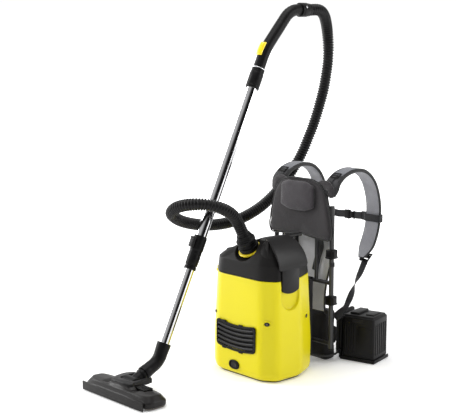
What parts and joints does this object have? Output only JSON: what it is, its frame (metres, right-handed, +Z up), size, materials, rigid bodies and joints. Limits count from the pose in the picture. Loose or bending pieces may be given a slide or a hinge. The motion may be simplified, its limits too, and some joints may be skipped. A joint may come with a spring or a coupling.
{
  "type": "backpack vacuum cleaner",
  "caption": "Battery backpack vacuum: bag container with hinged lid on a padded wearable harness, hip battery, ribbed hose, telescopic wand and floor nozzle.",
  "frame": {"origin": "centre of the container's flat base, on the floor", "axes": "+Z up; -Y is the exhaust grille side of the container and the way the floor nozzle reaches; +Y is the wearer and harness side; +X is the latch side"},
  "size_m": [0.4162, 0.8795, 1.0428],
  "materials": {
    "aluminium": "cast",
    "battery_plastic": "fine grain",
    "black_plastic": "fine grain",
    "bristle": "brush fibre",
    "cable_rubber": "matte",
    "chrome_tube": "polished",
    "circuit_board": "solder mask",
    "filter_paper": "paper fleece",
    "foam": "open foam",
    "frame_paint": "powder coat",
    "grey_plastic": "satin",
    "harness_fabric": "woven",
    "hose_plastic": "ribbed satin",
    "lever_plastic": "satin",
    "lid_plastic": "fine grain",
    "mesh_fabric": "spacer mesh",
    "motor_core": "bare",
    "nozzle_plastic": "satin",
    "seal_rubber": "matte",
    "steel": "zinc plated",
    "steel_sheet": "brushed",
    "strap_fabric": "woven with mesh lining",
    "webbing": "ribbed webbing",
    "yellow_shell": "satin gloss",
    "yellow_trim": "satin gloss"
  },
  "bodies": {
    "root": {"container_shell": "yellow_shell", "base_plate": "black_plastic", "exhaust_grille": "black_plastic", "exhaust_filter": "filter_paper", "switch_bezel": "black_plastic", "corner_screws": "steel", "motor_housing": "black_plastic", "motor": "motor_core", "motor_deck": "black_plastic", "motor_filter": "foam", "filter_basket": "black_plastic", "filter_bag": "filter_paper", "control_board": "circuit_board", "lid_hinge_pin": "steel", "hose": "hose_plastic", "hose_collar": "black_plastic", "carrier_plate": "black_plastic", "frame_tubes": "frame_paint", "frame_clamps": "black_plastic", "back_mesh": "mesh_fabric", "lumbar_pad": "harness_fabric", "hip_wings": "harness_fabric", "battery_holder": "battery_plastic", "battery_cable": "cable_rubber", "strap_webbing": "webbing"},
    "switch": {"rocker_switch": "black_plastic"},
    "fan": {"impeller": "aluminium"},
    "lid": {"lid_shell": "lid_plastic", "lid_gasket": "seal_rubber", "inlet_duct": "lid_plastic", "inlet_ring": "yellow_shell", "latch_pin": "steel"},
    "latch": {"latch_lever": "lever_plastic"},
    "cuff": {"hose_cuff": "black_plastic"},
    "handle": {"handle_pipe": "black_plastic", "tube_socket": "black_plastic", "upper_tube": "chrome_tube", "lock_sleeve": "black_plastic"},
    "air_regulator": {"air_slider": "yellow_trim"},
    "socket_catch": {"catch_button": "grey_plastic"},
    "tube_release": {"release_slider": "grey_plastic"},
    "wand_lower": {"lower_tube": "chrome_tube", "nozzle_elbow": "black_plastic"},
    "neck": {"nozzle_neck": "black_plastic"},
    "nozzle": {"nozzle_housing": "nozzle_plastic", "nozzle_sole": "steel_sheet", "centre_cover": "grey_plastic", "neck_pin": "steel"},
    "brush": {"brush_strips": "bristle"},
    "pedal": {"foot_pedal": "black_plastic"},
    "wheels": {"rollers": "grey_plastic"},
    "harness": {"back_panel": "harness_fabric", "pillow_pad": "harness_fabric", "strap_right": "strap_fabric", "strap_left": "strap_fabric", "sternum_strap": "webbing", "sternum_buckle": "black_plastic", "strap_ladderlocks": "black_plastic"},
    "battery": {"battery_pack": "battery_plastic"},
    "battery_button": {"battery_release": "grey_plastic"}
  },
  "joints": [
    {"name": "power_switch", "type": "hinge", "parent": "root", "child": "switch", "pos_m": [-0.014, -0.1005, 0.031], "axis": [0, 0, 1], "range_deg": [-5, 5]},
    {"name": "fan_spin", "type": "hinge", "parent": "root", "child": "fan", "pos_m": [0.015, 0, 0.05], "axis": [0, 0, 1], "continuous": true},
    {"name": "lid_hinge", "type": "hinge", "parent": "root", "child": "lid", "pos_m": [-0.1295, 0, 0.288], "axis": [0, -1, 0], "range_deg": [0, 60], "deforming": ["hose"]},
    {"name": "latch_swing", "type": "hinge", "parent": "lid", "child": "latch", "pos_m": [0.084, 0, 0.399], "axis": [0, -1, 0], "range_deg": [0, 50]},
    {"name": "cuff_turn", "type": "hinge", "parent": "lid", "child": "cuff", "pos_m": [0, -0.05, 0.352], "axis": [0, -0.5, 0.866], "continuous": true},
    {"name": "handle_swivel", "type": "hinge", "parent": "root", "child": "handle", "pos_m": [-0.07, 0.215, 1.0223], "axis": [0, 1, 0], "continuous": true},
    {"name": "air_slide", "type": "hinge", "parent": "handle", "child": "air_regulator", "pos_m": [-0.07, 0.23949, 0.79843], "axis": [1, 0, 0], "range_deg": [-4, 0]},
    {"name": "socket_button", "type": "slide", "parent": "handle", "child": "socket_catch", "axis": [0, -0.9003, 0.4352], "range_m": [0, 0.002], "stiffness_N_per_m": 400},
    {"name": "tube_release_slide", "type": "slide", "parent": "handle", "child": "tube_release", "axis": [0, 0.4352, 0.9003], "range_m": [0, 0.007], "stiffness_N_per_m": 300},
    {"name": "telescope", "type": "slide", "parent": "handle", "child": "wand_lower", "axis": [0, 0.4352, 0.9003], "range_m": [0, 0.21]},
    {"name": "neck_swivel", "type": "hinge", "parent": "wand_lower", "child": "neck", "pos_m": [-0.07, -0.38358, 0.05131], "axis": [0, 0.9063, 0.4226], "range_deg": [-60, 60]},
    {"name": "nozzle_tilt", "type": "hinge", "parent": "neck", "child": "nozzle", "pos_m": [-0.07, -0.425, 0.032], "axis": [1, 0, 0], "range_deg": [-45, 20]},
    {"name": "pedal_rock", "type": "hinge", "parent": "nozzle", "child": "pedal", "pos_m": [-0.009, -0.431, 0.035], "axis": [1, 0, 0], "range_deg": [0, 8]},
    {"name": "brush_lift", "type": "slide", "parent": "nozzle", "child": "brush", "axis": [0, 0, 1], "range_m": [0, 0.005]},
    {"name": "roller_spin", "type": "hinge", "parent": "nozzle", "child": "wheels", "pos_m": [-0.07, -0.41, 0.007], "axis": [1, 0, 0], "continuous": true},
    {"name": "back_length", "type": "slide", "parent": "root", "child": "harness", "axis": [0, 0, 1], "range_m": [-0.02, 0.04], "deforming": ["strap_webbing"]},
    {"name": "battery_slide", "type": "slide", "parent": "root", "child": "battery", "axis": [0, 0, 1], "range_m": [0, 0.08]},
    {"name": "battery_button", "type": "slide", "parent": "battery", "child": "battery_button", "axis": [-0.2419, 0.9703, 0], "range_m": [0, 0.0025], "stiffness_N_per_m": 400}
  ],
  "couplings": [
    {"joint": "brush_lift", "follows": "pedal_rock", "m_per_rad": 0.03581}
  ]
}
